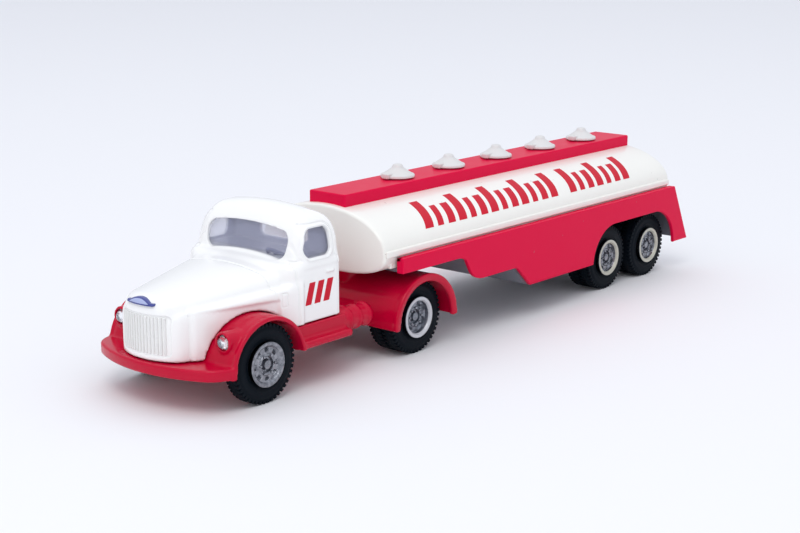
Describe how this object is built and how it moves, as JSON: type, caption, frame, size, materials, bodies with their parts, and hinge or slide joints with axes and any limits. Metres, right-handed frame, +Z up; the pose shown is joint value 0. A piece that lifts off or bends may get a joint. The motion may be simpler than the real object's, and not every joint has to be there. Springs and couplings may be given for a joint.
{
  "type": "toy tanker truck",
  "caption": "Articulated die-cast toy tanker: bonneted tractor with rolling wheels, drawing a skirted oval tank semi-trailer that swings on a kingpin.",
  "frame": {"origin": "on the ground, at the middle of the overall length and width, with the trailer straight behind the tractor", "axes": "+X towards the bumper, +Y the vehicle's left side, +Z up"},
  "size_m": [0.225, 0.0512, 0.049],
  "materials": {
    "chassis_red": "gloss enamel over casting",
    "cab_white": "gloss enamel",
    "tank_cream": "gloss enamel, slightly aged",
    "trailer_red": "satin enamel",
    "base_dark": "matt moulded",
    "interior_grey": "matt moulded",
    "interior_navy": "satin moulded",
    "badge_blue": "printed, gloss",
    "clear_plastic": "clear styrene",
    "jewel_clear": "faceted clear",
    "steel": "plain drawn",
    "hub_chrome": "bright plated",
    "tyre_rubber": "matt rubber"
  },
  "bodies": {
    "tractor": {"tractor_chassis": "chassis_red", "cab_shell": "cab_white", "cab_glazing": "clear_plastic", "cab_interior": "interior_grey", "steering_wheel": "interior_navy", "headlight_left": "jewel_clear", "headlight_right": "jewel_clear", "bonnet_badge": "badge_blue", "cab_rivet_front": "steel", "cab_rivet_rear": "steel"},
    "front_axle_set": {"front_axle": "steel", "front_hub_left": "hub_chrome", "front_hub_right": "hub_chrome", "front_tyre_left": "tyre_rubber", "front_tyre_right": "tyre_rubber"},
    "drive_axle_set": {"drive_axle": "steel", "drive_hub_left": "hub_chrome", "drive_hub_right": "hub_chrome", "drive_tyre_left_outer": "tyre_rubber", "drive_tyre_left_inner": "tyre_rubber", "drive_tyre_right_outer": "tyre_rubber", "drive_tyre_right_inner": "tyre_rubber"},
    "trailer": {"tank_shell": "tank_cream", "walkway": "trailer_red", "hatch_1": "cab_white", "hatch_2": "cab_white", "hatch_3": "cab_white", "hatch_4": "cab_white", "hatch_5": "cab_white", "skirt_left": "trailer_red", "skirt_right": "trailer_red", "base_plate": "base_dark", "kingpin": "steel", "trailer_rivet_front": "steel", "trailer_rivet_rear": "steel"},
    "trailer_front_axle_set": {"trailer_front_axle": "steel", "trailer_front_hub_left": "hub_chrome", "trailer_front_hub_right": "hub_chrome", "trailer_front_tyre_left_outer": "tyre_rubber", "trailer_front_tyre_left_inner": "tyre_rubber", "trailer_front_tyre_right_outer": "tyre_rubber", "trailer_front_tyre_right_inner": "tyre_rubber"},
    "trailer_rear_axle_set": {"trailer_rear_axle": "steel", "trailer_rear_hub_left": "hub_chrome", "trailer_rear_hub_right": "hub_chrome", "trailer_rear_tyre_left_outer": "tyre_rubber", "trailer_rear_tyre_left_inner": "tyre_rubber", "trailer_rear_tyre_right_outer": "tyre_rubber", "trailer_rear_tyre_right_inner": "tyre_rubber"}
  },
  "joints": [
    {"name": "front_wheels_roll", "type": "hinge", "parent": "tractor", "child": "front_axle_set", "pos_m": [0.0896, 0, 0.0105], "axis": [0, 1, 0], "continuous": true},
    {"name": "drive_wheels_roll", "type": "hinge", "parent": "tractor", "child": "drive_axle_set", "pos_m": [0.0302, 0, 0.0105], "axis": [0, 1, 0], "continuous": true},
    {"name": "trailer_swing", "type": "hinge", "parent": "tractor", "child": "trailer", "pos_m": [0.0342, 0, 0.0248], "axis": [0, 0, 1], "range_deg": [-45, 45]},
    {"name": "trailer_front_wheels_roll", "type": "hinge", "parent": "trailer", "child": "trailer_front_axle_set", "pos_m": [-0.0667, 0, 0.0105], "axis": [0, 1, 0], "continuous": true},
    {"name": "trailer_rear_wheels_roll", "type": "hinge", "parent": "trailer", "child": "trailer_rear_axle_set", "pos_m": [-0.0912, 0, 0.0105], "axis": [0, 1, 0], "continuous": true}
  ]
}
